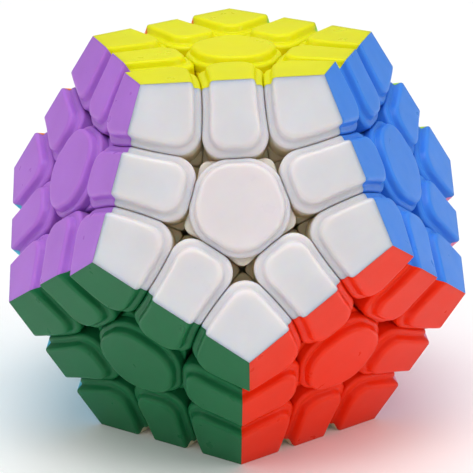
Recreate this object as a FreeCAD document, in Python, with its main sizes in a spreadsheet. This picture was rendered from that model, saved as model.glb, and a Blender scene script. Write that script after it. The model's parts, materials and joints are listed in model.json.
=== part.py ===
"""A twelve-sided twisty puzzle: a dodecahedron whose twelve layers turn about their own faces.

Sixty-two outer pieces ride on a twelve-armed core. Each of the twelve centre pieces is held to the core by
a screw with a spring and a washer. The thirty edge pieces are held in by their feet, which reach under the
centre pieces, and the twenty corner pieces by feet that reach under the edge pieces. Each edge and corner
piece is a foot with one coloured shell for each face that it shows.

Frame: millimetres, +Z up, origin at the middle of the core. The yellow face is on top, the puzzle stands on
the cream face, and the white face looks towards -Y, tilted upwards.
"""
import FreeCAD, Part
import math
import os

Vector = FreeCAD.Vector
doc = FreeCAD.newDocument("dodecahedron_twisty_puzzle")

# ---------------------------------------------------------------- driving dimensions
DIMENSIONS = [
    ("edge_length", 33.0, "edge of the dodecahedron"),
    ("cut_apex", 6.52, "distance of a layer's cutting cone apex from the middle"),
    ("cut_angle", 58.2, "half angle of the cutting cone of the outer pieces"),
    ("foot_angle", 50.0, "half angle of the cutting cone of the feet"),
    ("play", 0.15, "gap that each piece keeps from a cutting surface"),
    ("foot_top", 21.5, "radius of the sphere between the feet and the outer pieces"),
    ("foot_bottom", 18.2, "inner radius of the feet"),
    ("neck_top", 26.0, "radius up to which a corner piece's neck is part of its foot"),
    ("wall", 1.1, "wall of the coloured shells"),
    ("rim_drop", 1.5, "step down from a tile's raised pad to its rim"),
    ("rim_width", 1.45, "width of that rim"),
    ("corner_round", 4.4, "rounding of a corner shell where four pieces meet"),
    ("edge_round", 4.2, "rounding of an edge shell where four pieces meet"),
    ("pad_round", 3.4, "rounding of the raised pads there"),
    ("shoulder_top", 28.0, "height below which the shells fill the corners of their space"),
    ("shoulder_round", 1.0, "rounding of the shells below that height"),
    ("corner_stalk", 2.2, "radius of a corner piece's stalk"),
    ("edge_stalk", 2.3, "radius of an edge piece's stalk"),
    ("base_top", 33.4, "height of a centre base's rim above the middle"),
    ("base_floor", 23.6, "height of the floor of a centre base's cup"),
    ("cup_radius", 8.2, "largest radius of that cup, which the centre cap covers"),
    ("stem_radius", 3.6, "radius of a centre base's stem"),
    ("arm_end", 13.0, "height of the core's arms"),
    ("arm_radius", 3.4, "radius of the core's arms"),
    ("ball_radius", 9.5, "radius of the core's ball"),
    ("well_radius", 3.3, "radius of the spring well in a centre base"),
    ("well_floor", 22.4, "height of the floor of that well"),
    ("well_wall", 1.2, "wall of the spring well"),
    ("cap_radius", 8.8, "outer radius of a centre cap across its flats"),
    ("cap_round", 7.2, "corner rounding of a centre cap"),
    ("cap_rim_width", 1.1, "width of the rim around a centre cap's raised pad"),
    ("skirt_radius", 6.1, "outer radius of the ring under a centre cap"),
    ("skirt_depth", 3.0, "how far that ring reaches into the centre base"),
    ("screw_radius", 1.4, "radius of the screws' shanks"),
    ("screw_start", 7.0, "height at which a screw's tip stands"),
    ("screw_seat", 28.4, "height of the underside of the screws' heads"),
    ("head_radius", 2.7, "radius of the screws' heads"),
    ("head_height", 1.8, "height of the screws' heads"),
    ("washer_height", 0.5, "thickness of the washers"),
    ("spring_radius", 2.5, "mean radius of the springs"),
    ("wire_radius", 0.3, "radius of the spring wire"),
    ("spring_turns", 4.0, "turns of a spring"),
    ("front_layer_turn", 2.2, "how far the white layer stands turned, anticlockwise"),
]
sizes = doc.addObject("Spreadsheet::Sheet", "sizes")
for row, (alias, number, meaning) in enumerate(DIMENSIONS, start=1):
    sizes.set(f"A{row}", meaning)
    sizes.set(f"B{row}", str(number))
    sizes.setAlias(f"B{row}", alias)
doc.recompute()

# ---------------------------------------------------------------- the dodecahedron
GOLDEN = (1 + math.sqrt(5)) / 2
# between the axes of neighbouring faces
TILT = math.degrees(math.acos(1 / math.sqrt(5)))
# between a face's axis and the face's corners
CORNER_TILT = math.degrees(math.asin(math.sqrt((10 - 2 * math.sqrt(5)) / 15)))
CORNER_TANGENT = math.tan(math.radians(CORNER_TILT))
INRADIUS_PER_EDGE = GOLDEN ** 2 / (2 * math.sqrt(3 - GOLDEN))
FACE_HEIGHT = f"sizes.edge_length * {INRADIUS_PER_EDGE:.9f}"
RIM_HEIGHT = f"({FACE_HEIGHT} - sizes.rim_drop)"
ROOF_HEIGHT = f"({RIM_HEIGHT} - sizes.wall)"
PAD_ROOF_HEIGHT = f"({FACE_HEIGHT} - sizes.wall)"
REACH = 60.0      # length of the cutting cones, well past the puzzle's surface

OPPOSITE = {"yellow": "cream", "white": "grey", "blue": "cyan", "lime": "green", "orange": "red",
            "purple": "pink"}


def face_axes():
    """Unit normal of every face: yellow on top, five around it from white on, and their opposites."""
    axes = {"yellow": Vector(0, 0, 1)}
    for step, name in enumerate(["white", "blue", "lime", "orange", "purple"]):
        turn = math.radians(72 * step - 90)
        flat = math.sin(math.radians(TILT))
        axes[name] = Vector(flat * math.cos(turn), flat * math.sin(turn), math.cos(math.radians(TILT)))
    for name, other in OPPOSITE.items():
        axes[other] = axes[name] * -1
    return axes


AXES = face_axes()


def touching(first, second):
    """Whether two faces share an edge."""
    return abs(AXES[first].dot(AXES[second]) - math.cos(math.radians(TILT))) < 1e-6


# The master pieces are made where the yellow, white and blue faces meet.
TOP, FRONT, SIDE, OTHER_SIDE = "yellow", "white", "blue", "purple"
CORNER_AXIS = (AXES[TOP] + AXES[FRONT] + AXES[SIDE]).normalize()
EDGE_AXIS = (AXES[TOP] + AXES[FRONT]).normalize()
UP = Vector(0, 0, 1)


# ---------------------------------------------------------------- building blocks
def make(kind, name, **links):
    """An object of the document with the given properties."""
    thing = doc.addObject(kind, name)
    for key, value in links.items():
        setattr(thing, key, value)
    return thing


def bind(thing, **formulas):
    """Tie properties of an object to the sizes sheet."""
    for key, formula in formulas.items():
        thing.setExpression(key, formula)
    return thing


def stand(thing, axis, height="0"):
    """Stand an object on an axis through the middle, at a height along it."""
    turn = FreeCAD.Rotation(UP, axis)
    thing.Placement = FreeCAD.Placement(Vector(), turn)
    for letter, part in zip("xyz", axis):
        if abs(part) > 1e-9:
            thing.setExpression(f"Placement.Base.{letter}", f"({part:.9f}) * ({height})")
    return thing


def cylinder(name, axis, radius, bottom, height):
    return stand(bind(make("Part::Cylinder", name), Radius=radius, Height=height), axis, bottom)


def ball(name, radius):
    return bind(make("Part::Sphere", name), Radius=radius)


def cut(name, base, tool):
    return make("Part::Cut", name, Base=base, Tool=tool)


def common(name, *shapes):
    return make("Part::MultiCommon", name, Shapes=list(shapes))


def fuse(name, *shapes):
    return make("Part::MultiFuse", name, Shapes=list(shapes))


def layer_cone(name, face, angle, apex):
    """The solid cone that one turning layer fills: apex on the face's axis, opening outwards."""
    cone = make("Part::Cone", name, Radius1=0, Height=REACH)
    bind(cone, Radius2=f"{REACH} * tan({angle})")
    return stand(cone, AXES[face], apex)


def outer_cone(name, face, gap):
    """The layer's cone among the outer pieces, with its wall moved inwards by a gap."""
    return layer_cone(name, face, "sizes.cut_angle", f"sizes.cut_apex + ({gap}) / sin(sizes.cut_angle)")


def foot_cone(name, face, gap):
    """The layer's cone among the feet, with its wall moved inwards by a gap."""
    return layer_cone(name, face, "sizes.foot_angle", f"({gap}) / sin(sizes.foot_angle)")


def sector(name, bottom, top, margin="0"):
    """The top face's share of the dodecahedron between two heights: a five-sided frustum."""
    rings = []
    for label, height in (("low", bottom), ("high", top)):
        ring = make("Part::RegularPolygon", f"{name}_{label}", Polygon=5)
        bind(ring, Circumradius=f"({height}) * {CORNER_TANGENT:.9f} + {margin}")
        ring.Placement = FreeCAD.Placement(Vector(), FreeCAD.Rotation(UP, -90 + 36))
        ring.setExpression("Placement.Base.z", height)
        rings.append(ring)
    return make("Part::Loft", name, Sections=rings, Solid=True, Ruled=True)


def on_cone(point, face, gap):
    """Whether a point lies on the wall of a layer's cone moved inwards by a gap."""
    angle = math.radians(sizes.cut_angle)
    height = point.dot(AXES[face])
    radius = math.sqrt(max(point.dot(point) - height * height, 0))
    apex = sizes.cut_apex + gap / math.sin(angle)
    return abs((height - apex) * math.sin(angle) - radius * math.cos(angle)) < 1e-3


def round_off(name, base, pairs, gap, radius):
    """Round the edges of a shape where the walls of two cones meet.

    Each pair names two faces and the sides (1 inside, -1 outside) on which the shape keeps its gap.
    """
    doc.recompute()
    chosen = []
    for number, edge in enumerate(base.Shape.Edges, start=1):
        middle = edge.valueAt((edge.FirstParameter + edge.LastParameter) / 2)
        for (one, one_side), (two, two_side) in pairs:
            if on_cone(middle, one, gap * one_side) and on_cone(middle, two, gap * two_side):
                chosen.append((number, radius, radius))
    return make("Part::Fillet", name, Base=base, Edges=chosen)


def turned(name, source, placement):
    """A copy of an object at another place."""
    copy = make("Part::Compound", name, Links=[source])
    copy.Placement = placement
    return copy


def carry(source, target):
    """The turn about the middle that carries one list of faces onto another."""
    def frame(faces):
        first, second = AXES[faces[0]], AXES[faces[1]]
        third = first.cross(second)
        return FreeCAD.Matrix(first.x, second.x, third.x, 0, first.y, second.y, third.y, 0,
                              first.z, second.z, third.z, 0, 0, 0, 0, 1)
    return FreeCAD.Placement(frame(target) * frame(source).inverse())


# ---------------------------------------------------------------- coloured shells
def corner_outline(name, bottom, top, gap, margin="0"):
    """The top face's third of a corner piece, before its corner is rounded."""
    return common(name, sector(f"{name}_sector", bottom, top, margin),
                  outer_cone(f"{name}_front", FRONT, gap), outer_cone(f"{name}_side", SIDE, gap))


def edge_outline(name, bottom, top, gap, margin="0"):
    """The top face's half of an edge piece, before its corners are rounded."""
    kept = common(f"{name}_kept", sector(f"{name}_sector", bottom, top, margin),
                  outer_cone(f"{name}_front", FRONT, gap))
    sides = fuse(f"{name}_sides", outer_cone(f"{name}_side", SIDE, f"-({gap})"),
                 outer_cone(f"{name}_other_side", OTHER_SIDE, f"-({gap})"))
    return cut(name, kept, sides)


def tile_shell(name, outline, pairs, rim_round, seat):
    """One coloured shell: a rim with a raised pad on top, shoulders below the rim, and hollow inside."""
    play = sizes.play
    rim_width = sizes.rim_width
    wall = sizes.wall
    wide = "sizes.wall * 2"
    body = outline(f"{name}_rim_block", "sizes.foot_bottom", RIM_HEIGHT, "sizes.play")
    body = round_off(f"{name}_rim", body, pairs, play, rim_round)
    shoulder = outline(f"{name}_shoulder_block", "sizes.foot_bottom", "sizes.shoulder_top", "sizes.play")
    shoulder = round_off(f"{name}_shoulder", shoulder, pairs, play, sizes.shoulder_round)
    pad = outline(f"{name}_pad_block", ROOF_HEIGHT, FACE_HEIGHT, "(sizes.play + sizes.rim_width)")
    pad = round_off(f"{name}_pad", pad, pairs, play + rim_width, sizes.pad_round)
    room = outline(f"{name}_room_block", "sizes.foot_bottom - 1", ROOF_HEIGHT,
                   "(sizes.play + sizes.wall)", wide)
    room = round_off(f"{name}_room", room, pairs, play + wall, rim_round - wall)
    loft = outline(f"{name}_loft_block", f"{ROOF_HEIGHT} - 1", PAD_ROOF_HEIGHT,
                   "(sizes.play + sizes.rim_width + sizes.wall)", wide)
    loft = round_off(f"{name}_loft", loft, pairs, play + rim_width + wall, sizes.pad_round - wall)
    return cut(name, fuse(f"{name}_block", body, shoulder, pad), fuse(f"{name}_hollow", room, loft, seat))


corner_shell = tile_shell("corner_shell", corner_outline, [((FRONT, 1), (SIDE, 1))], sizes.corner_round,
                          ball("corner_seat", "sizes.neck_top"))
edge_shell = tile_shell("edge_shell", edge_outline,
                        [((FRONT, 1), (SIDE, -1)), ((FRONT, 1), (OTHER_SIDE, -1))], sizes.edge_round,
                        ball("edge_seat", "sizes.foot_top + sizes.play"))


# ---------------------------------------------------------------- feet
def foot_zone(name):
    """The hollow ball in which all the feet turn."""
    return cut(name, ball(f"{name}_outside", "sizes.foot_top - sizes.play"),
               ball(f"{name}_inside", "sizes.foot_bottom"))


def roof_block(name, faces):
    """Everything below the undersides of the shells on the given faces."""
    blocks = [cylinder(f"{name}_{face}", AXES[face], f"{REACH}", f"{PAD_ROOF_HEIGHT} - {REACH}", f"{REACH}")
              for face in faces]
    return common(name, *blocks)


def stalk(name, axis, faces, radius):
    """The stalk that joins a foot to the undersides of its shells."""
    rod = cylinder(f"{name}_rod", axis, radius, "sizes.foot_bottom + sizes.wall", f"{REACH}")
    return common(name, rod, roof_block(f"{name}_roof", faces))


corner_foot = fuse(
    "corner_foot",
    common("corner_neck",
           cut("corner_neck_zone", ball("corner_neck_top", "sizes.neck_top"),
               ball("corner_neck_bottom", "sizes.foot_bottom")),
           *[outer_cone(f"corner_neck_{face}", face, "sizes.play") for face in (TOP, FRONT, SIDE)]),
    common("corner_foot_plate", foot_zone("corner_foot_zone"),
           *[foot_cone(f"corner_foot_{face}", face, "sizes.play") for face in (TOP, FRONT, SIDE)]),
    stalk("corner_stalk", CORNER_AXIS, (TOP, FRONT, SIDE), "sizes.corner_stalk"))

edge_foot = fuse(
    "edge_foot",
    cut("edge_foot_plate",
        common("edge_foot_span", foot_zone("edge_foot_zone"),
               *[foot_cone(f"edge_foot_{face}", face, "sizes.play") for face in (TOP, FRONT)]),
        fuse("edge_foot_sides",
             *[foot_cone(f"edge_foot_{face}", face, "-sizes.play") for face in (SIDE, OTHER_SIDE)])),
    stalk("edge_stalk", EDGE_AXIS, (TOP, FRONT), "sizes.edge_stalk"))


# ---------------------------------------------------------------- centre pieces, on the top face
def centre_block(name, bottom, top, gap):
    """The room of a centre piece between two heights, clear of its five neighbouring layers."""
    height = f"({top}) - ({bottom})"
    block = cylinder(f"{name}_block", UP, "sizes.edge_length * 0.5", bottom, height)
    cones = [outer_cone(f"{name}_{face}", face, f"-({gap})") for face in AXES if touching(TOP, face)]
    return cut(name, block, fuse(f"{name}_neighbours", *cones))


base_body = cut("base_body",
                centre_block("base_outside", "sizes.foot_top - 2", "sizes.base_top", "sizes.play"),
                ball("base_seat", "sizes.foot_top + sizes.play"))
base_cup = common("base_cup",
                  centre_block("base_cup_star", "sizes.base_floor", "sizes.base_top + 1",
                               "(sizes.play + sizes.wall)"),
                  cylinder("base_cup_round", UP, "sizes.cup_radius", "sizes.base_floor",
                           "sizes.base_top + 1 - sizes.base_floor"))
base_tower = cylinder("base_tower", UP, "sizes.well_radius + sizes.well_wall", "sizes.foot_top",
                      "sizes.screw_seat + sizes.head_height - sizes.foot_top")
base_stem = cylinder("base_stem", UP, "sizes.stem_radius", "sizes.arm_end + sizes.play",
                     "sizes.well_floor - sizes.arm_end")
base_well = cylinder("base_well", UP, "sizes.well_radius", "sizes.well_floor", "sizes.base_top")
base_bore = cylinder("base_bore", UP, "sizes.screw_radius + sizes.play", "0", "sizes.base_top")
centre_base = cut("centre_base",
                  fuse("base_solid", cut("base_shell", base_body, base_cup), base_tower, base_stem),
                  fuse("base_holes", base_well, base_bore))


def rounded_pentagon(name, flats, rounding, bottom, top):
    """A five-sided block with round upright corners, flats across from the neighbouring faces."""
    block = make("Part::Prism", f"{name}_block", Polygon=5)
    bind(block, Circumradius=f"({flats}) / cos(36)", Height=f"({top}) - ({bottom})")
    block.Placement = FreeCAD.Placement(Vector(), FreeCAD.Rotation(UP, -90 + 36))
    block.setExpression("Placement.Base.z", bottom)
    doc.recompute()
    upright = [(number, rounding, rounding) for number, edge in enumerate(block.Shape.Edges, start=1)
               if abs(edge.tangentAt(edge.FirstParameter).z) > 0.99]
    return make("Part::Fillet", name, Base=block, Edges=upright)


cap_rim = rounded_pentagon("cap_rim", "sizes.cap_radius", sizes.cap_round, "sizes.base_top", RIM_HEIGHT)
cap_pad = rounded_pentagon("cap_pad", "sizes.cap_radius - sizes.cap_rim_width",
                           sizes.cap_round - sizes.cap_rim_width,
                           f"{RIM_HEIGHT} - sizes.wall / 2", FACE_HEIGHT)
cap_room = rounded_pentagon("cap_room", "sizes.cap_radius - sizes.wall", sizes.cap_round - sizes.wall,
                            "sizes.base_top - 1", ROOF_HEIGHT)
cap_skirt = cut("cap_skirt",
                cylinder("cap_skirt_outside", UP, "sizes.skirt_radius",
                         "sizes.base_top - sizes.skirt_depth",
                         f"{RIM_HEIGHT} - sizes.base_top + sizes.skirt_depth"),
                cylinder("cap_skirt_inside", UP, "sizes.skirt_radius - sizes.wall",
                         "sizes.base_top - sizes.skirt_depth - 1",
                         f"{ROOF_HEIGHT} - sizes.base_top + sizes.skirt_depth + 1"))
cap_solid = common("cap_solid", fuse("cap_block", cap_rim, cap_pad),
                   centre_block("cap_space", "sizes.base_top", FACE_HEIGHT, "sizes.play"))
centre_cap = fuse("centre_cap", cut("cap_shell", cap_solid, cap_room), cap_skirt)

# ---------------------------------------------------------------- screws, washers, springs and the core
screw = cut("screw",
            fuse("screw_solid",
                 cylinder("screw_shank", UP, "sizes.screw_radius", "sizes.screw_start",
                          "sizes.screw_seat - sizes.screw_start"),
                 cylinder("screw_head", UP, "sizes.head_radius", "sizes.screw_seat", "sizes.head_height")),
            stand(bind(make("Part::Box", "screw_slot", Width=0.7),
                       Length="sizes.head_radius * 3", Height="sizes.head_height"),
                  UP, "sizes.screw_seat + sizes.head_height / 2"))
bind(screw.Tool, **{"Placement.Base.x": "-sizes.head_radius * 1.5", "Placement.Base.y": "-0.35"})

WASHER_BOTTOM = "sizes.screw_seat - sizes.washer_height"
washer = cut("washer",
             cylinder("washer_disc", UP, "sizes.well_radius - sizes.play", WASHER_BOTTOM,
                      "sizes.washer_height"),
             cylinder("washer_hole", UP, "sizes.screw_radius + sizes.play", "0", "sizes.base_top"))


def bend(section, start, heading, end):
    """The wall of a circle swept along the arc that leaves start on a heading, and its last circle."""
    chord = end - start
    axis = heading.cross(chord).normalize()
    inward = axis.cross(heading)
    radius = chord.dot(chord) / (2 * chord.dot(inward))
    angle = 2 * math.degrees(math.asin(chord.Length / (2 * radius)))
    centre = start + inward * radius
    moved = section.copy()
    moved.rotate(centre, axis, angle)
    return section.revolve(centre, axis, angle), moved


def spring_solid(arcs_per_turn=6):
    """A coil spring from the well's floor to the washer: a chain of arcs, two to each span of the helix."""
    low = sizes.well_floor + sizes.wire_radius
    rise = sizes.screw_seat - sizes.washer_height - sizes.wire_radius - low
    spans = round(sizes.spring_turns * arcs_per_turn)
    slope = rise / (2 * math.pi * sizes.spring_turns * sizes.spring_radius)

    def on_helix(number):
        turn = 2 * math.pi * number / arcs_per_turn
        x, y = math.cos(turn), math.sin(turn)
        place = Vector(x * sizes.spring_radius, y * sizes.spring_radius, low + rise * number / spans)
        return place, Vector(-y, x, slope).normalize()

    start, heading = on_helix(0)
    section = Part.makeCircle(sizes.wire_radius, start, heading)
    faces = [Part.Face(Part.Wire(section))]
    for number in range(1, spans + 1):
        end, arrival = on_helix(number)
        chord = end - start
        along = chord.dot(heading + arrival)
        spread = 2 * (1 - heading.dot(arrival))
        reach = (math.sqrt(along ** 2 + spread * chord.dot(chord)) - along) / spread
        middle = (start + end + (heading - arrival) * reach) * 0.5
        between = (middle - start - heading * reach).normalize()
        wall, section = bend(section, start, heading, middle)
        faces += wall.Faces
        wall, section = bend(section, middle, between, end)
        faces += wall.Faces
        start, heading = end, arrival
    faces.append(Part.Face(Part.Wire(section)))
    shell = Part.makeShell(faces)
    shell.sewShape()
    return Part.makeSolid(shell)


spring = make("Part::Feature", "spring", Shape=spring_solid())

arms = [cylinder(f"core_arm_{face}", AXES[face], "sizes.arm_radius", "0", "sizes.arm_end") for face in AXES]
bores = [cylinder(f"core_bore_{face}", AXES[face], "sizes.screw_radius + 0.05", "sizes.screw_start - 0.5",
                  "sizes.arm_end") for face in AXES]
core = cut("core_body", fuse("core_arms", ball("core_ball", "sizes.ball_radius"), *arms),
           fuse("core_bores", *bores))

# ---------------------------------------------------------------- whole pieces
whole_corner = make("Part::Compound", "whole_corner", Links=[
    corner_shell, corner_foot,
    turned("corner_shell_front", corner_shell, carry((TOP, FRONT), (FRONT, SIDE))),
    turned("corner_shell_side", corner_shell, carry((TOP, FRONT), (SIDE, TOP)))])
whole_edge = make("Part::Compound", "whole_edge", Links=[
    edge_shell, edge_foot, turned("edge_shell_front", edge_shell, carry((TOP, FRONT), (FRONT, TOP)))])

# ---------------------------------------------------------------- placing them
TURNING_LAYERS = ("white", "lime", "cream")
ROOT_EDGE_GROUPS = {
    "top": [("yellow", "blue"), ("yellow", "purple"), ("yellow", "orange")],
    "left": [("purple", "green"), ("purple", "cyan"), ("purple", "orange")],
    "right": [("blue", "red"), ("blue", "pink"), ("red", "pink")],
    "back": [("grey", "orange"), ("grey", "cyan"), ("grey", "pink")],
    "lower_left": [("red", "green"), ("green", "cyan"), ("cyan", "orange")],
}
LAYER_TURN = {"white": FreeCAD.Placement(Vector(), FreeCAD.Rotation(AXES["white"], sizes.front_layer_turn))}
AT_REST = FreeCAD.Placement()


def in_layer_order(faces):
    """The turning layer's face first, so that a piece is named after the layer that carries it."""
    return sorted(faces, key=lambda face: (face not in TURNING_LAYERS, list(AXES).index(face)))


def corners():
    """Every three faces that meet, in turning order seen from outside."""
    names = list(AXES)
    for one in names:
        for two in names[names.index(one) + 1:]:
            for three in names[names.index(two) + 1:]:
                if touching(one, two) and touching(two, three) and touching(one, three):
                    yield in_layer_order((one, two, three))


def edges():
    """Every two faces that share an edge."""
    names = list(AXES)
    for one in names:
        for two in names[names.index(one) + 1:]:
            if touching(one, two):
                yield in_layer_order((one, two))


def turning_order(faces):
    """Three meeting faces in the master corner's turning order, starting with the first."""
    one, two, three = faces
    master = AXES[TOP].cross(AXES[FRONT]).dot(AXES[SIDE])
    same = AXES[one].cross(AXES[two]).dot(AXES[three]) * master > 0
    return (one, two, three) if same else (one, three, two)


nodes = []


def node(name, links, placement=AT_REST):
    """One named sub-part, made of one or more whole pieces."""
    part = make("Part::Compound", name, Links=links, Label=name)
    part.Placement = placement
    nodes.append(part)


def piece_group(name, master, placements):
    """Several equal pieces in one named sub-part."""
    node(name, [turned(f"{name}_piece", master, placement) for placement in placements])


for faces in corners():
    place = LAYER_TURN.get(faces[0], AT_REST) * carry((TOP, FRONT), turning_order(faces)[:2])
    node("corner_" + "_".join(faces), [whole_corner], place)
for faces in edges():
    if faces[0] in TURNING_LAYERS:
        place = LAYER_TURN.get(faces[0], AT_REST) * carry((TOP, FRONT), faces)
        node("edge_" + "_".join(faces), [whole_edge], place)
for side, pairs in ROOT_EDGE_GROUPS.items():
    piece_group(f"edge_pieces_{side}", whole_edge, [carry((TOP, FRONT), pair) for pair in pairs])

ON_FACE = {}
for face in AXES:
    neighbour = next(name for name in AXES if touching(face, name))
    ON_FACE[face] = LAYER_TURN.get(face, AT_REST) * carry((TOP, FRONT), (face, neighbour))
for face in AXES:
    node(f"centre_cap_{face}", [centre_cap], ON_FACE[face])
for face in TURNING_LAYERS:
    node(f"centre_base_{face}", [centre_base], ON_FACE[face])
FIXED_FACES = [face for face in AXES if face not in TURNING_LAYERS]
piece_group("centre_bases", centre_base, [ON_FACE[face] for face in FIXED_FACES])
piece_group("screws", screw, ON_FACE.values())
piece_group("washers", washer, ON_FACE.values())
piece_group("springs", spring, ON_FACE.values())
node("core", [core])

# ---------------------------------------------------------------- checks and files
doc.recompute()
for thing in doc.Objects:
    if "Invalid" in thing.State or "Error" in thing.State:
        raise RuntimeError(f"{thing.Name} failed: {thing.State}")
for part in nodes:
    if part.Shape.isNull() or not part.Shape.isValid():
        raise RuntimeError(f"{part.Label} has no valid shape")
os.makedirs("parts", exist_ok=True)
for part in nodes:
    part.Shape.exportStep(f"parts/{part.Label}.step")
print(len(nodes), "sub-parts,", sum(len(part.Shape.Solids) for part in nodes), "solids,",
      round(sum(part.Shape.Volume for part in nodes) / 1000, 1), "cm3")
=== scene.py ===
"""A twelve-sided twisty puzzle in moulded, coloured plastic, standing on a pale floor.

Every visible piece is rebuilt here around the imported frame, with fine rims, pads and rounded edges: the
coloured shells and the foot of each corner and edge piece, and the base and cap of each centre piece. The
core, screws, springs and washers inside keep their CAD meshes. Lengths are in metres.
"""
import json
import math

import bmesh
import bpy
import numpy as np
from mathutils import Matrix, Vector


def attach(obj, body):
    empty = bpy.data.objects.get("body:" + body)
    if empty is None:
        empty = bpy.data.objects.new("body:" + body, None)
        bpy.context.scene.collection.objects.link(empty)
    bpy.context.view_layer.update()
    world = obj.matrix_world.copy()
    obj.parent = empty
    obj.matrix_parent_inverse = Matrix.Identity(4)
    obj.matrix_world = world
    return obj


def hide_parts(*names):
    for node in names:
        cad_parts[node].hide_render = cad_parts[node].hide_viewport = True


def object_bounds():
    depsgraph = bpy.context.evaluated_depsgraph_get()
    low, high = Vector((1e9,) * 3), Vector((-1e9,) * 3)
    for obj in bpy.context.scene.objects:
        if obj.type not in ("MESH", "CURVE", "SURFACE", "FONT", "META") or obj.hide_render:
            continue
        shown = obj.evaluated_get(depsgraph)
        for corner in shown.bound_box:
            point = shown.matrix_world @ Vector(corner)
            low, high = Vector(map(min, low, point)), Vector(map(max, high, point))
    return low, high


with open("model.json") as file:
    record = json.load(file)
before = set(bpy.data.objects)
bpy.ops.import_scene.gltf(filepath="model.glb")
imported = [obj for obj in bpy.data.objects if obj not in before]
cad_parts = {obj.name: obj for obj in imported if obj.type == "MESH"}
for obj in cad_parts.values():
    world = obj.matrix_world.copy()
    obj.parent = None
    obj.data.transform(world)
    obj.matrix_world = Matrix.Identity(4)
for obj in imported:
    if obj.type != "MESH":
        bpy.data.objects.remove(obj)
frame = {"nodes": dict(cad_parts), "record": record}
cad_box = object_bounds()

MM = 0.001
record = frame["record"]
BODY_OF = {node: body for body, nodes in record["behaviour"]["bodies"].items() for node in nodes}

# ---------------------------------------------------------------- sizes shared with the CAD model
GOLDEN = (1 + math.sqrt(5)) / 2
REST_FACE = next(mount for mount in record["mounts"] if mount["name"] == "rest_face")
FACE_HEIGHT = -REST_FACE["pos_m"][2]                        # from the middle to every face
EDGE = FACE_HEIGHT * 2 * math.sqrt(3 - GOLDEN) / GOLDEN ** 2
TILT = math.acos(1 / math.sqrt(5))                          # between neighbouring face axes
RIDGE_SLOPE = math.tan(TILT / 2)                            # from a face axis to the middle of its ridge
CORNER_TILT = math.asin(math.sqrt((10 - 2 * math.sqrt(5)) / 15))
CUT_APEX, CUT_ANGLE = 6.52 * MM, math.radians(58.2)
FOOT_ANGLE = math.radians(50)
PLAY = 0.15 * MM
GAP = 0.05 * MM       # left by each shell and base at its walls
FOOT_TOP, FOOT_BOTTOM, NECK_TOP = 21.5 * MM, 18.2 * MM, 26 * MM
CORNER_FOOT_ROUND, EDGE_FOOT_ROUND, NECK_ROUND = 1.2 * MM, 0.9 * MM, 0.8 * MM
CORNER_STALK, EDGE_STALK = 2.2 * MM, 2.3 * MM               # radii
WALL = 1.1 * MM
RIM_DROP, RIM_WIDTH = 1.5 * MM, 1.45 * MM
CORNER_ROUND, EDGE_ROUND, PAD_ROUND = 4.4 * MM, 4.2 * MM, 3.4 * MM
SHOULDER_TOP, SHOULDER_ROUND = 28 * MM, 1.0 * MM
BASE_TOP, BASE_FLOOR, CUP_RADIUS = 33.4 * MM, 23.6 * MM, 8.2 * MM
BASE_ROUND, BASE_TOP_ROUND = 0.6 * MM, 1.6 * MM             # of the star's notches, low and high
TOWER_RADIUS, TOWER_TOP = 4.5 * MM, 30.2 * MM               # around the spring well
WELL_RADIUS, WELL_FLOOR = 3.3 * MM, 22.4 * MM
BORE_RADIUS = 1.55 * MM
STEM_RADIUS, STEM_END, STEM_CHAMFER = 3.6 * MM, 13.15 * MM, 0.4 * MM
SKIRT_RADIUS, SKIRT_DEPTH = 6.1 * MM, 3.0 * MM
CAP_RADIUS, CAP_ROUND, CAP_RIM_WIDTH = 8.8 * MM, 7.2 * MM, 1.1 * MM
FRONT_LAYER_TURN = math.radians(2.2)

RIM_HEIGHT = FACE_HEIGHT - RIM_DROP
ROOF_HEIGHT = RIM_HEIGHT - WALL
PAD_ROOF = FACE_HEIGHT - WALL
RIM_EDGE, PAD_EDGE, PAD_FOOT = 0.75 * MM, 0.75 * MM, 0.55 * MM    # radii of the small roundings
SHOULDER_EDGE, BASE_EDGE, FOOT_EDGE, CHAMFER = 0.4 * MM, 0.5 * MM, 0.4 * MM, 0.06 * MM
FOOT_HOLLOW = (1.6 * MM, 1.0 * MM)                # insets of the rings that close a foot's underside
CORNER_HEART, EDGE_HEART = 0.6 * EDGE, 0.47 * EDGE    # from a face's middle to the middles of its tiles
HEART_LEAN = 0.3       # how far the middle of a tile leans outwards on the way down

# ---------------------------------------------------------------- how finely the meshes are made
SHELL_POINTS, FOOT_POINTS, CENTRE_POINTS = 44, 72, 120      # around each piece
LOWEST = 0.7           # of a ball's radius: where the search for a wall's foot on the ball starts
WIDEST = 1.2           # radians from a foot's axis, beyond its walls
SAME_POINT = 1e-7
BEVELLED_FROM, SHARP_FROM = math.radians(40), math.radians(32)    # angles between two faces

# ---------------------------------------------------------------- directions of the faces
OPPOSITE = {"yellow": "cream", "white": "grey", "blue": "cyan", "lime": "green", "orange": "red",
            "purple": "pink"}


def face_axes():
    axes = {"yellow": np.array([0.0, 0.0, 1.0])}
    for step, name in enumerate(["white", "blue", "lime", "orange", "purple"]):
        turn = math.radians(72 * step - 90)
        axes[name] = np.array([math.sin(TILT) * math.cos(turn), math.sin(TILT) * math.sin(turn),
                               math.cos(TILT)])
    for name, other in OPPOSITE.items():
        axes[other] = -axes[name]
    return axes


AXES = face_axes()
TOP, FRONT, SIDE, OTHER_SIDE = "yellow", "white", "blue", "purple"   # where the master pieces are made


def touching(first, second):
    return abs(AXES[first] @ AXES[second] - math.cos(TILT)) < 1e-6


def unit(vector):
    return vector / np.linalg.norm(vector)


def carry(source, target):
    """Rotation about the middle that carries two faces onto two others."""
    def basis(faces):
        one, two = AXES[faces[0]], AXES[faces[1]]
        return np.column_stack([one, two, np.cross(one, two)])
    return basis(target) @ np.linalg.inv(basis(source))


def turn_about(axis, angle):
    return np.array(Matrix.Rotation(angle, 3, Vector(axis)))


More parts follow.
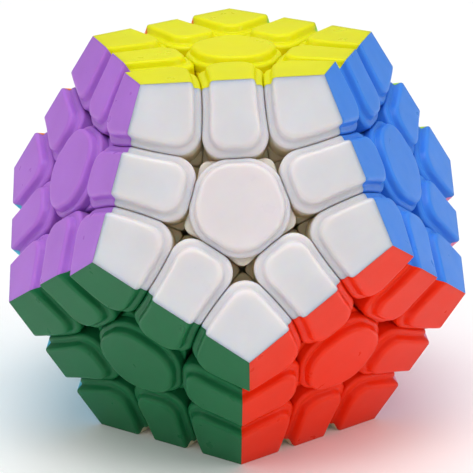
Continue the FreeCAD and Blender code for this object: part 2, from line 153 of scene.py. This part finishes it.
# ---------------------------------------------------------------- how far points lie inside the pieces
def depth(points, face, apex=CUT_APEX, angle=CUT_ANGLE):
    """Distance of points inside the cone that a layer turns in; negative outside it."""
    height = points @ AXES[face]
    radius = np.sqrt(np.maximum((points ** 2).sum(-1) - height ** 2, 0))
    return (height - apex) * math.sin(angle) - radius * math.cos(angle)


def rounded(distances, rounding):
    """Distance inside several walls at once, with the corners between them rounded."""
    nearest = np.min(distances, axis=0)
    short = np.maximum(rounding - np.stack(distances), 0)
    return np.where(nearest > rounding, nearest, rounding - np.sqrt((short ** 2).sum(0)))


def corner_tile(points, rounding):
    return rounded([depth(points, FRONT) - GAP, depth(points, SIDE) - GAP], rounding)


def edge_tile(points, rounding):
    return rounded([depth(points, FRONT) - GAP, -depth(points, SIDE) - GAP,
                    -depth(points, OTHER_SIDE) - GAP], rounding)


def centre_room(points, rounding=BASE_ROUND):
    around = [face for face in AXES if touching(TOP, face)]
    return rounded([-depth(points, face) - GAP for face in around], rounding)


def cap_room(points):
    """Inside a pentagon with large round corners and the centre piece's room, measured sideways."""
    flat = np.linalg.norm(points[..., :2], axis=-1)
    angle = np.arctan2(points[..., 1], points[..., 0]) - math.radians(-90)
    angle = np.abs((angle + math.pi / 5) % (2 * math.pi / 5) - math.pi / 5)
    heart = (CAP_RADIUS - CAP_ROUND) / math.cos(math.pi / 5)
    along = math.pi / 5 - angle
    round_part = heart * np.cos(along) + np.sqrt(CAP_ROUND ** 2 - (heart * np.sin(along)) ** 2)
    straight = CAP_RADIUS / np.cos(angle)
    on_flat = CAP_RADIUS * np.tan(angle) <= (CAP_RADIUS - CAP_ROUND) * math.tan(math.pi / 5)
    return np.minimum(np.where(on_flat, straight, round_part) - flat, centre_room(points))


def foot_room(inside, outside, rounding):
    def room(points):
        walls = [depth(points, face, 0, FOOT_ANGLE) - PLAY for face in inside]
        walls += [-depth(points, face, 0, FOOT_ANGLE) - PLAY for face in outside]
        return rounded(walls, rounding)
    return room


def neck_room(points):
    return rounded([depth(points, face) - PLAY for face in (TOP, FRONT, SIDE)], NECK_ROUND)


# ---------------------------------------------------------------- rings of points on a piece's surface
def halve(place, value, low, high, rounds=44):
    """The amounts at which value(place(amount)) falls through zero, between low and high."""
    low, high = np.broadcast_arrays(np.asarray(low, float), np.asarray(high, float))
    low, high = low.copy(), high.copy()
    for _ in range(rounds):
        middle = (low + high) / 2
        inside = value(place(middle)) > 0
        low = np.where(inside, middle, low)
        high = np.where(inside, high, middle)
    return (low + high) / 2


def heart_at(heart, height):
    """The middle of a tile at some height; it leans outwards on the way down, as the tile's walls do."""
    share = np.asarray(height, float) / FACE_HEIGHT
    share = share + HEART_LEAN * (1 - share)
    return np.stack([heart[0] * share, heart[1] * share, np.asarray(height, float)], -1)


def flat_ring(room, heart, angles, height, inset):
    """A ring around an upright axis, at a height, where a room's wall lies an inset inside."""
    height = np.broadcast_to(np.asarray(height, float), angles.shape)
    ways = np.stack([np.cos(angles), np.sin(angles), np.zeros_like(angles)], -1)
    start = heart_at(heart, height)

    def place(amount):
        return start + ways * amount[..., None]
    return place(halve(place, lambda points: room(points) - inset, np.zeros_like(angles),
                       np.full_like(angles, EDGE)))


def circle_ring(angles, height, radius):
    return np.stack([radius * np.cos(angles), radius * np.sin(angles), np.full_like(angles, height)], -1)


def ball_ring(room, basis, angles, radius, inset):
    """A ring on a ball of some radius, around an axis, where a room's wall lies an inset inside."""
    def place(tilt):
        flat = np.cos(angles)[:, None] * basis[0] + np.sin(angles)[:, None] * basis[1]
        return radius * (np.cos(tilt)[:, None] * basis[2] + np.sin(tilt)[:, None] * flat)
    return place(halve(place, lambda points: room(points) - inset, np.zeros_like(angles),
                       np.full_like(angles, WIDEST)))


def drop_to_ball(make_ring, radius, low, high):
    """A ring whose every point lies on a wall and on a ball: make_ring takes the points' heights."""
    def excess(points):
        return np.linalg.norm(points, axis=-1) - radius
    return make_ring(halve(make_ring, excess, low, high, rounds=26))


# ---------------------------------------------------------------- profiles
def quarter(start, end, steps=4, hollow=False):
    """Points of a quarter round between two (inset, height) pairs, both ends left out."""
    points = []
    for step in range(1, steps):
        turn = math.pi / 2 * step / steps
        if hollow:
            share = (math.sin(turn), 1 - math.cos(turn))
        else:
            share = (1 - math.cos(turn), math.sin(turn))
        points.append(tuple(start[i] + (end[i] - start[i]) * share[i] for i in (0, 1)))
    return points


def rim_profile(rim_width=RIM_WIDTH):
    """(inset, height) pairs from the top of a tile's wall over its rim and up to its raised pad."""
    least_flat, pad_lean, pad_border = 0.05 * MM, 0.08 * MM, 0.35 * MM
    rim_start = (0, RIM_HEIGHT - RIM_EDGE)
    rim_end = (RIM_EDGE, RIM_HEIGHT)
    hollow_start = (max(rim_width - PAD_FOOT * 0.9, RIM_EDGE + least_flat), RIM_HEIGHT)
    hollow_end = (rim_width - pad_lean, RIM_HEIGHT + PAD_FOOT)
    pad_start = (rim_width, FACE_HEIGHT - PAD_EDGE)
    pad_end = (rim_width + PAD_EDGE, FACE_HEIGHT)
    return ([rim_start] + quarter(rim_start, rim_end, 5) + [rim_end, hollow_start]
            + quarter(hollow_start, hollow_end, 4, hollow=True) + [hollow_end, pad_start]
            + quarter(pad_start, pad_end, 5) + [pad_end, (pad_end[0] + pad_border, FACE_HEIGHT)])


# ---------------------------------------------------------------- meshes
def with_flat_normals(mesh):
    """The mesh with normals that follow its large flat faces, so that only its roundings shade softly."""
    holder = bpy.data.objects.new(mesh.name, mesh)
    bpy.context.scene.collection.objects.link(holder)
    holder.modifiers.new("normals", "WEIGHTED_NORMAL").keep_sharp = True
    shown = holder.evaluated_get(bpy.context.evaluated_depsgraph_get())
    result = bpy.data.meshes.new_from_object(shown)
    bpy.data.objects.remove(holder)
    return result


class Skin:
    """Collects rings of points and the faces between them."""

    def __init__(self):
        self.points = []
        self.faces = []

    def add(self, points):
        first = len(self.points)
        self.points.extend(np.atleast_2d(points))
        return list(range(first, len(self.points)))

    def join(self, lower, upper, closed):
        count = len(lower)
        for i in range(count if closed else count - 1):
            j = (i + 1) % count
            self.faces.append((lower[i], lower[j], upper[j], upper[i]))

    def stack(self, rings, closed):
        numbers = [self.add(ring) for ring in rings]
        for lower, upper in zip(numbers, numbers[1:]):
            self.join(lower, upper, closed)
        return numbers

    def close(self, ring):
        """Close a ring with triangles around its middle."""
        middle = self.add(np.mean([self.points[number] for number in ring], axis=0))[0]
        for number, following in zip(ring, ring[1:] + ring[:1]):
            self.faces.append((number, following, middle))

    def mesh(self, name):
        mesh = bpy.data.meshes.new(name)
        mesh.from_pydata([tuple(point) for point in self.points], [], self.faces)
        work = bmesh.new()
        work.from_mesh(mesh)
        bmesh.ops.remove_doubles(work, verts=work.verts, dist=SAME_POINT)
        bmesh.ops.recalc_face_normals(work, faces=work.faces)
        sharp = [edge for edge in work.edges
                 if edge.calc_face_angle(0) > BEVELLED_FROM and edge.calc_length() > 2 * CHAMFER]
        bmesh.ops.bevel(work, geom=sharp, offset=CHAMFER, segments=2, profile=0.5, affect="EDGES",
                        clamp_overlap=True)
        work.to_mesh(mesh)
        work.free()
        mesh.validate()
        for face in mesh.polygons:
            face.use_smooth = True
        mesh.set_sharp_from_angle(angle=SHARP_FROM)
        return with_flat_normals(mesh)


def mitre_point(room, toward, sign, height, inset, inside):
    """Where a room's wall meets a face's ridge; inside is the part of the ridge that lies in the room."""
    out = unit(AXES[toward] * (1, 1, 0))
    along = np.cross(AXES[TOP], out) * sign
    half = height * EDGE / 2 / FACE_HEIGHT

    def place(amount):
        height_part = np.asarray(height)[..., None] * (AXES[TOP] + out * RIDGE_SLOPE)
        return height_part + (amount * half)[..., None] * along
    ends = (1.0, 0.0) if inside == "end" else (0.0, 1.0)
    shape = np.zeros_like(np.asarray(height, float))
    low, high = shape + ends[0], shape + ends[1]
    return place(halve(place, lambda points: room(points) - inset, low, high))


def open_shell(name, tile, rim_round, heart, starts, ends, seat, tip):
    """One face's coloured shell of a corner or edge piece, hollow, cut square at the ridges.

    starts and ends each give mitre_point's toward, sign and inside. tip is whether the pad runs to a
    corner of the face.
    """
    count = SHELL_POINTS
    shares = np.linspace(0, 1, count)

    def ring(height, inset, rounding):
        height = np.broadcast_to(np.asarray(height, float), (count,)).copy()

        def room(points):
            return tile(points, rounding + inset)
        first = mitre_point(room, starts[0], starts[1], height[:1], inset, starts[2])[0]
        last = mitre_point(room, ends[0], ends[1], height[-1:], inset, ends[2])[0]
        angle = []
        for point in (first, last):
            middle = heart_at(heart, point[2])
            angle.append(math.atan2(point[1] - middle[1], point[0] - middle[0]))
        sweep = (angle[1] - angle[0]) % (2 * math.pi)
        points = flat_ring(room, heart, angle[0] + sweep * shares, height, inset)
        points[0], points[-1] = first, last
        return points

    def seat_ring(inset):
        return drop_to_ball(lambda height: ring(height, inset, SHOULDER_ROUND), seat,
                            np.full(count, SHOULDER_TOP), np.full(count, seat * LOWEST))

    def rim_ring(inset, height):
        share = min(inset / RIM_WIDTH, 1)
        pad_round = min(PAD_ROUND, rim_round)
        return ring(height, inset, rim_round - (rim_round - pad_round) * share)

    def shoulder_ring(inset, height):
        low, wall = ring(height, inset, SHOULDER_ROUND), rim_ring(0, height)
        middle = heart_at(heart, height)
        further = np.linalg.norm(low - middle, axis=-1) > np.linalg.norm(wall - middle, axis=-1)
        return np.where(further[:, None], low, wall)

    bottom = seat_ring(0)
    edge_start, edge_end = (0, SHOULDER_TOP - SHOULDER_EDGE), (SHOULDER_EDGE, SHOULDER_TOP)
    rings = [bottom] + [ring(bottom[:, 2] * (1 - part) + edge_start[1] * part, 0, SHOULDER_ROUND)
                        for part in (0.35, 0.7, 1)]
    rings += [shoulder_ring(inset, height)
              for inset, height in quarter(edge_start, edge_end, 3) + [edge_end]]
    rings += [rim_ring(0, SHOULDER_TOP), rim_ring(0, (SHOULDER_TOP + RIM_HEIGHT - RIM_EDGE) / 2)]
    rings += [rim_ring(inset, height) for inset, height in rim_profile()]
    skin = Skin()
    outer = skin.stack(rings, False)
    inner = skin.stack([seat_ring(WALL), rim_ring(WALL, ROOF_HEIGHT),
                        rim_ring(RIM_WIDTH + WALL, ROOF_HEIGHT),
                        rim_ring(RIM_WIDTH + WALL, PAD_ROOF)], False)
    skin.join(outer[0], inner[0], False)
    first_side = [ring_[0] for ring_ in outer]
    last_side = [ring_[-1] for ring_ in outer]
    inner_first = [ring_[0] for ring_ in reversed(inner)]
    inner_last = [ring_[-1] for ring_ in reversed(inner)]
    if tip:
        peak_way = unit(AXES[TOP] + AXES[starts[0]] + AXES[ends[0]])
        peak = skin.add(peak_way * FACE_HEIGHT / math.cos(CORNER_TILT))
        inner_peak = skin.add(peak_way * PAD_ROOF / math.cos(CORNER_TILT))
        skin.close(outer[-1] + peak)
        skin.close(inner[-1] + inner_peak)
        skin.faces.append(tuple(first_side + peak + inner_peak + inner_first))
        skin.faces.append(tuple(last_side + peak + inner_peak + inner_last))
    else:
        skin.close(outer[-1])
        skin.close(inner[-1])
        skin.faces.append(tuple(first_side + last_side[::-1] + inner_last[::-1] + inner_first))
    return skin.mesh(name)


def corner_shell_mesh():
    middle = unit(AXES[FRONT] * (1, 1, 0) + AXES[SIDE] * (1, 1, 0))
    return open_shell("corner_shell", corner_tile, CORNER_ROUND, middle * CORNER_HEART, (SIDE, -1, "end"),
                      (FRONT, 1, "end"), NECK_TOP, True)


def edge_shell_mesh():
    middle = unit(AXES[FRONT] * (1, 1, 0))
    return open_shell("edge_shell", edge_tile, EDGE_ROUND, middle * EDGE_HEART, (FRONT, 1, "middle"),
                      (FRONT, -1, "middle"), FOOT_TOP + PLAY, False)


def basis_about(way):
    """Two sideways directions and the way itself."""
    side = unit(np.cross(way, np.array([1.0, 0, 0]) if abs(way[0]) < 0.9 else np.array([0, 1.0, 0])))
    return [side, np.cross(way, side), way]


def foot_mesh(name, way, room, neck, stalk_radius):
    """A foot: a curved plate with rounded edges, whose neck and stalk carry the shells."""
    tilt = math.acos(AXES[TOP] @ way)
    angles = np.linspace(0, 2 * math.pi, FOOT_POINTS, endpoint=False)
    basis = basis_about(way)
    low, high, soft = FOOT_BOTTOM, FOOT_TOP - PLAY, FOOT_EDGE

    def plate(radius, inset):
        return ball_ring(room, basis, angles, radius, inset)

    def stalk(height):
        flat = np.cos(angles)[:, None] * basis[0] + np.sin(angles)[:, None] * basis[1]
        return flat * stalk_radius + basis[2] * height

    roof = (PAD_ROOF - stalk_radius * math.sin(tilt)) / math.cos(tilt) - PLAY
    rings = [plate(low, inset) for inset in FOOT_HOLLOW]
    rings += [plate(low + soft * (1 - math.cos(turn)), soft * (1 - math.sin(turn)))
              for turn in np.linspace(0, math.pi / 2, 4)]
    rings += [plate(high - soft * (1 - math.sin(turn)), soft * (1 - math.cos(turn)))
              for turn in np.linspace(0, math.pi / 2, 4)]
    if neck is None:
        rings += [stalk(high + soft), stalk(roof)]
    else:
        rings += [ball_ring(neck, basis, angles, radius, 0)
                  for radius in (high, high + 2 * soft, NECK_TOP)]
        rings += [stalk(NECK_TOP), stalk(roof)]
    skin = Skin()
    numbers = skin.stack(rings, True)
    skin.close(numbers[0])
    skin.close(numbers[-1])
    return skin.mesh(name)


def base_mesh():
    """A centre base: a five-pointed cup with a spring well in its middle, on a stem."""
    angles = np.linspace(0, 2 * math.pi, CENTRE_POINTS, endpoint=False)
    soft = BASE_EDGE

    def ring(height, inset, rounding=BASE_ROUND):
        return flat_ring(lambda points: centre_room(points, rounding), (0, 0), angles, height, inset)

    def cup_ring(height):
        star = ring(height, WALL)
        reach = np.linalg.norm(star[:, :2], axis=-1)
        share = np.minimum(CUP_RADIUS / reach, 1)
        return star * np.stack([share, share, np.ones(CENTRE_POINTS)], -1)

    ball = FOOT_TOP + PLAY
    seat = drop_to_ball(lambda height: ring(height, 0), ball, np.full(CENTRE_POINTS, BASE_TOP),
                        np.full(CENTRE_POINTS, FOOT_TOP * LOWEST))
    rings = [seat] + [ring(seat[:, 2] * (1 - part) + (BASE_TOP - soft) * part, 0,
                           BASE_ROUND * (1 - part) + BASE_TOP_ROUND * part)
                      for part in (0.3, 0.6, 1)]
    rings += [ring(BASE_TOP - soft + soft * math.sin(turn), soft * (1 - math.cos(turn)), BASE_TOP_ROUND)
              for turn in np.linspace(0, math.pi / 2, 5)[1:]]
    rings += [cup_ring(BASE_TOP), cup_ring(BASE_FLOOR)]
    steps = [(BASE_FLOOR, TOWER_RADIUS), (TOWER_TOP, TOWER_RADIUS), (TOWER_TOP, WELL_RADIUS),
             (WELL_FLOOR, WELL_RADIUS), (WELL_FLOOR, BORE_RADIUS), (STEM_END, BORE_RADIUS),
             (STEM_END, STEM_RADIUS - STEM_CHAMFER), (STEM_END + STEM_CHAMFER, STEM_RADIUS)]
    rings += [circle_ring(angles, height, radius) for height, radius in steps]
    root = circle_ring(angles, math.sqrt(ball ** 2 - STEM_RADIUS ** 2), STEM_RADIUS)
    for share in (0, 0.33, 0.67):
        between = root * (1 - share) + seat * share
        rings.append(between / np.linalg.norm(between, axis=-1)[:, None] * ball)
    skin = Skin()
    numbers = skin.stack(rings, True)
    skin.join(numbers[-1], numbers[0], True)
    return skin.mesh("centre_base")


def cap_mesh():
    """A centre cap: a rounded pentagon with a raised pad, hollow, with a ring that grips the base."""
    angles = np.linspace(0, 2 * math.pi, CENTRE_POINTS, endpoint=False)

    def ring(height, inset):
        return flat_ring(cap_room, (0, 0), angles, height, inset)

    skin = Skin()
    over_rim = [ring(height, inset) for inset, height in rim_profile(CAP_RIM_WIDTH)]
    outer = skin.stack([ring(BASE_TOP, 0)] + over_rim, True)
    low = BASE_TOP - SKIRT_DEPTH
    skirt = [(ROOF_HEIGHT, SKIRT_RADIUS), (low, SKIRT_RADIUS), (low, SKIRT_RADIUS - WALL),
             (ROOF_HEIGHT, SKIRT_RADIUS - WALL)]
    inner = skin.stack([ring(BASE_TOP, WALL), ring(ROOF_HEIGHT, WALL)]
                       + [circle_ring(angles, height, radius) for height, radius in skirt], True)
    skin.join(outer[0], inner[0], True)
    skin.close(outer[-1])
    skin.close(inner[-1])
    return skin.mesh("centre_cap")


# ---------------------------------------------------------------- materials
PLASTIC_SPECULAR, PLASTIC_IOR = 0.17, 1.5
SCATTER_RADIUS, SCATTER_REACH = (1.0, 0.6, 0.35), 4 * MM
PATCH_SCALE, GLOSS_SCALE, GRAIN_SCALE = 90.0, 260.0, 700.0  # of the noise in colour, gloss and relief
DARKER, LIGHTER = 0.05, 0.03                                # how far the colour wanders
GLOSSIER, DULLER = 0.05, 0.06                               # how far the roughness wanders
GRAIN_HEIGHT = 0.02 * MM
# heights along a face's axis where the painted glow begins and where it is full; the glow stands in for
# light passing through the plastic between the pieces
PAINTED_GLOW_FROM, PAINTED_GLOW_FULL = RIM_HEIGHT - 0.5 * MM, RIM_HEIGHT - 3.5 * MM


def shade(name, colour, roughness=0.32, subsurface=0.0, metallic=0.0, bump=0.12, uneven=1.0, face=None,
          painted_glow=None):
    """Moulded plastic or metal: slightly uneven colour and gloss, and a very fine grain.

    The colour given for the glow is a painted glow: mixed in lighter and warmer down between the pieces
    of a face, it stands in for light that passes through the pale plastic there.
    """
    material = bpy.data.materials.new(name)
    material.use_nodes = True
    tree = material.node_tree
    shader = tree.nodes["Principled BSDF"]
    shader.inputs["Metallic"].default_value = metallic
    shader.inputs["IOR"].default_value = PLASTIC_IOR
    if not metallic:
        shader.inputs["Specular IOR Level"].default_value = PLASTIC_SPECULAR
    if subsurface:
        shader.inputs["Subsurface Weight"].default_value = subsurface
        shader.inputs["Subsurface Radius"].default_value = SCATTER_RADIUS
        shader.inputs["Subsurface Scale"].default_value = SCATTER_REACH
    place = tree.nodes.new("ShaderNodeTexCoord")

    def noise(scale, detail=4.0):
        node = tree.nodes.new("ShaderNodeTexNoise")
        node.inputs["Scale"].default_value = scale
        node.inputs["Detail"].default_value = detail
        tree.links.new(place.outputs["Object"], node.inputs["Vector"])
        return node.outputs["Fac"]

    def spread(source, low, high):
        node = tree.nodes.new("ShaderNodeMapRange")
        node.inputs["From Min"].default_value = 0.3
        node.inputs["From Max"].default_value = 0.7
        node.inputs["To Min"].default_value = low
        node.inputs["To Max"].default_value = high
        tree.links.new(source, node.inputs["Value"])
        return node.outputs["Result"]

    mix = tree.nodes.new("ShaderNodeMix")
    mix.data_type = "RGBA"
    mix.inputs["A"].default_value = [part * (1 - DARKER * uneven) for part in colour] + [1]
    mix.inputs["B"].default_value = [min(part * (1 + LIGHTER * uneven), 1) for part in colour] + [1]
    tree.links.new(spread(noise(PATCH_SCALE), 0.0, 1.0), mix.inputs["Factor"])
    shown = mix.outputs["Result"]
    # painted glow: the colour turns lighter and warmer with depth between the pieces, standing in for
    # light that passes through the pale plastic, not a colour of the plastic itself
    if painted_glow:
        height = tree.nodes.new("ShaderNodeVectorMath")
        height.operation = "DOT_PRODUCT"
        height.inputs[1].default_value = AXES[face]
        tree.links.new(place.outputs["Object"], height.inputs[0])
        down = tree.nodes.new("ShaderNodeMapRange")
        down.inputs["From Min"].default_value = PAINTED_GLOW_FROM
        down.inputs["From Max"].default_value = PAINTED_GLOW_FULL
        tree.links.new(height.outputs["Value"], down.inputs["Value"])
        glow_mix = tree.nodes.new("ShaderNodeMix")
        glow_mix.data_type = "RGBA"
        glow_mix.inputs["B"].default_value = [*painted_glow, 1]
        tree.links.new(down.outputs["Result"], glow_mix.inputs["Factor"])
        tree.links.new(shown, glow_mix.inputs["A"])
        shown = glow_mix.outputs["Result"]
    tree.links.new(shown, shader.inputs["Base Color"])
    tree.links.new(spread(noise(GLOSS_SCALE), roughness - GLOSSIER, roughness + DULLER),
                   shader.inputs["Roughness"])
    relief = tree.nodes.new("ShaderNodeBump")
    relief.inputs["Strength"].default_value = bump
    relief.inputs["Distance"].default_value = GRAIN_HEIGHT
    tree.links.new(noise(GRAIN_SCALE, 2.0), relief.inputs["Height"])
    tree.links.new(relief.outputs["Normal"], shader.inputs["Normal"])
    return material


COLOURS = {
    "white": (0.735, 0.68, 0.695), "yellow": (0.79, 0.76, 0.002), "blue": (0.045, 0.227, 0.753),
    "purple": (0.42, 0.16, 0.64), "red": (0.92, 0.03, 0.004), "green": (0.01, 0.145, 0.05),
    "lime": (0.33, 0.68, 0.04), "orange": (0.88, 0.23, 0.01), "pink": (0.86, 0.30, 0.47),
    "cream": (0.80, 0.72, 0.48), "cyan": (0.08, 0.52, 0.70), "grey": (0.25, 0.26, 0.27)}
# painted glow colours for the white and yellow faces: warm, paler colours down between the pieces that
# stand in for light passing through the plastic
PAINTED_GLOW_COLOURS = {"white": (0.97, 0.80, 0.56), "yellow": (0.98, 0.72, 0.002)}
PLASTIC = {name: shade(f"{name}_plastic", colour, subsurface=0.7 if name == "white" else 0.35, face=name,
                       painted_glow=PAINTED_GLOW_COLOURS.get(name))
           for name, colour in COLOURS.items()}
INNER = shade("inner_plastic", (0.94, 0.77, 0.52), roughness=0.42, subsurface=0.5)
CORE = shade("core_plastic", (0.10, 0.10, 0.11), roughness=0.5)
STEEL = shade("zinc_steel", (0.62, 0.62, 0.60), roughness=0.3, metallic=1.0)
WIRE = shade("spring_steel", (0.55, 0.55, 0.56), roughness=0.25, metallic=1.0)

# ---------------------------------------------------------------- pieces
TURN_OF = {"white_layer": turn_about(AXES["white"], FRONT_LAYER_TURN)}


def piece(name, master, rotation, node, material):
    """A copy of a master mesh, turned into its place, standing for a CAD node."""
    mesh = master.copy()
    mesh.name = name
    body = BODY_OF[node]
    rotation = TURN_OF.get(body, np.eye(3)) @ rotation
    mesh.transform(Matrix(rotation.tolist()).to_4x4())
    mesh.materials.append(material)
    thing = bpy.data.objects.new(name, mesh)
    bpy.context.scene.collection.objects.link(thing)
    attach(thing, body)
    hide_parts(node)
    return thing


CORNER_WAY = unit(AXES[TOP] + AXES[FRONT] + AXES[SIDE])
EDGE_WAY = unit(AXES[TOP] + AXES[FRONT])
CORNER_SHELL = corner_shell_mesh()
EDGE_SHELL = edge_shell_mesh()
CORNER_FOOT = foot_mesh("corner_foot", CORNER_WAY, foot_room((TOP, FRONT, SIDE), (), CORNER_FOOT_ROUND),
                        neck_room, CORNER_STALK)
EDGE_FOOT = foot_mesh("edge_foot", EDGE_WAY,
                      foot_room((TOP, FRONT), (SIDE, OTHER_SIDE), EDGE_FOOT_ROUND), None, EDGE_STALK)
BASE = base_mesh()
CAP = cap_mesh()


def turning_order(faces):
    """Three meeting faces in the master corner's turning order, starting with the first."""
    one, two, three = faces
    hand = np.cross(AXES[TOP], AXES[FRONT]) @ AXES[SIDE]
    same = np.cross(AXES[one], AXES[two]) @ AXES[three] * hand > 0
    return (one, two, three) if same else (one, three, two)


def corner(node, faces):
    order = turning_order(faces)
    for shift in range(3):
        pair = (order[shift], order[(shift + 1) % 3])
        piece(f"{node}.shell_{pair[0]}", CORNER_SHELL, carry((TOP, FRONT), pair), node,
              PLASTIC[pair[0]])
    piece(f"{node}.foot", CORNER_FOOT, carry((TOP, FRONT), order[:2]), node, INNER)


def edge(node, faces):
    name = "edge_" + "_".join(faces)
    for pair in (faces, faces[::-1]):
        piece(f"{name}.shell_{pair[0]}", EDGE_SHELL, carry((TOP, FRONT), pair), node,
              PLASTIC[pair[0]])
    piece(f"{name}.foot", EDGE_FOOT, carry((TOP, FRONT), faces), node, INNER)


ROOT_EDGES = {
    "edge_pieces_top": [("yellow", "blue"), ("yellow", "purple"), ("yellow", "orange")],
    "edge_pieces_left": [("purple", "green"), ("purple", "cyan"), ("purple", "orange")],
    "edge_pieces_right": [("blue", "red"), ("blue", "pink"), ("red", "pink")],
    "edge_pieces_back": [("grey", "orange"), ("grey", "cyan"), ("grey", "pink")],
    "edge_pieces_lower_left": [("red", "green"), ("green", "cyan"), ("cyan", "orange")],
}

for node in sorted(BODY_OF):
    words = node.split("_")
    if words[0] == "corner":
        corner(node, tuple(words[1:]))
    elif node in ROOT_EDGES:
        for pair in ROOT_EDGES[node]:
            edge(node, pair)
    elif words[0] == "edge":
        edge(node, tuple(words[1:]))

for face in AXES:
    cap_node = f"centre_cap_{face}"
    base_node = f"centre_base_{face}" if f"centre_base_{face}" in BODY_OF else "centre_bases"
    neighbour = next(name for name in AXES if touching(face, name))
    place = carry((TOP, FRONT), (face, neighbour))
    piece(f"centre_cap_{face}.cap", CAP, place, cap_node, PLASTIC[face])
    piece(f"centre_base_{face}.base", BASE, place, base_node, PLASTIC[face])

for node, material in (("core", CORE), ("screws", STEEL), ("washers", STEEL), ("springs", WIRE)):
    for holder in frame["nodes"][node].material_slots:
        holder.link = "OBJECT"
        holder.material = material


# ---------------------------------------------------------------- floor, light and camera
def floor():
    size = 4.0
    mesh = bpy.data.meshes.new("floor")
    level = cad_box[0][2] - 0.02 * MM
    corners = [(-size, -size, level), (size, -size, level), (size, size, level), (-size, size, level)]
    mesh.from_pydata(corners, [], [(0, 1, 2, 3)])
    thing = bpy.data.objects.new("floor", mesh)
    bpy.context.scene.collection.objects.link(thing)
    paper = shade("floor_paper", (0.95, 0.95, 0.95), roughness=0.9, bump=0.0, uneven=0.0)
    mesh.materials.append(paper)


def lamp(name, place, size, watts):
    light = bpy.data.lights.new(name, "AREA")
    light.size = size
    light.energy = watts
    thing = bpy.data.objects.new(name, light)
    thing.location = place
    thing.rotation_euler = (-Vector(place)).to_track_quat("-Z", "Y").to_euler()
    bpy.context.scene.collection.objects.link(thing)


def studio():
    """Soft light from all round, dim near the horizon and bright overhead."""
    world = bpy.data.worlds.new("studio")
    world.use_nodes = True
    tree = world.node_tree
    background = tree.nodes["Background"]
    background.inputs["Strength"].default_value = 1.0
    place = tree.nodes.new("ShaderNodeTexCoord")
    split = tree.nodes.new("ShaderNodeSeparateXYZ")
    ramp = tree.nodes.new("ShaderNodeValToRGB")
    ramp.color_ramp.elements[0].color = (0.18, 0.18, 0.19, 1)
    ramp.color_ramp.elements[1].color = (0.70, 0.70, 0.70, 1)
    tree.links.new(place.outputs["Generated"], split.inputs["Vector"])
    tree.links.new(split.outputs["Z"], ramp.inputs["Fac"])
    tree.links.new(ramp.outputs["Color"], background.inputs["Color"])
    bpy.context.scene.world = world


def camera():
    """Level with the upper half of the puzzle, a little to the left, with a long lens."""
    azimuth, elevation, roll = math.radians(-1.56), math.radians(20.1), math.radians(-0.49)
    distance = 13.51 * EDGE
    aim = Vector((0.22, -0.48, -1.29)) * MM
    way = Vector((math.sin(azimuth) * math.cos(elevation), -math.cos(azimuth) * math.cos(elevation),
                  math.sin(elevation)))
    lens = bpy.data.cameras.new("camera")
    lens.angle = math.radians(11.72)
    lens.clip_start = 0.01
    thing = bpy.data.objects.new("camera", lens)
    turn = way.to_track_quat("Z", "Y").to_matrix() @ Matrix.Rotation(roll, 3, "Z")
    thing.matrix_world = Matrix.Translation(aim + way * distance) @ turn.to_4x4()
    bpy.context.scene.collection.objects.link(thing)
    bpy.context.scene.camera = thing


floor()
lamp("top_light", place=(0.0, -0.3, 2.2), size=1.6, watts=28)
lamp("left_light", place=(-1.9, -0.7, 0.9), size=1.2, watts=7)
lamp("right_light", place=(1.9, -0.7, 0.9), size=1.2, watts=9)
lamp("front_light", place=(0.0, -2.2, 0.5), size=1.2, watts=2.5)
studio()
bpy.context.scene.view_settings.view_transform = "Standard"
camera()
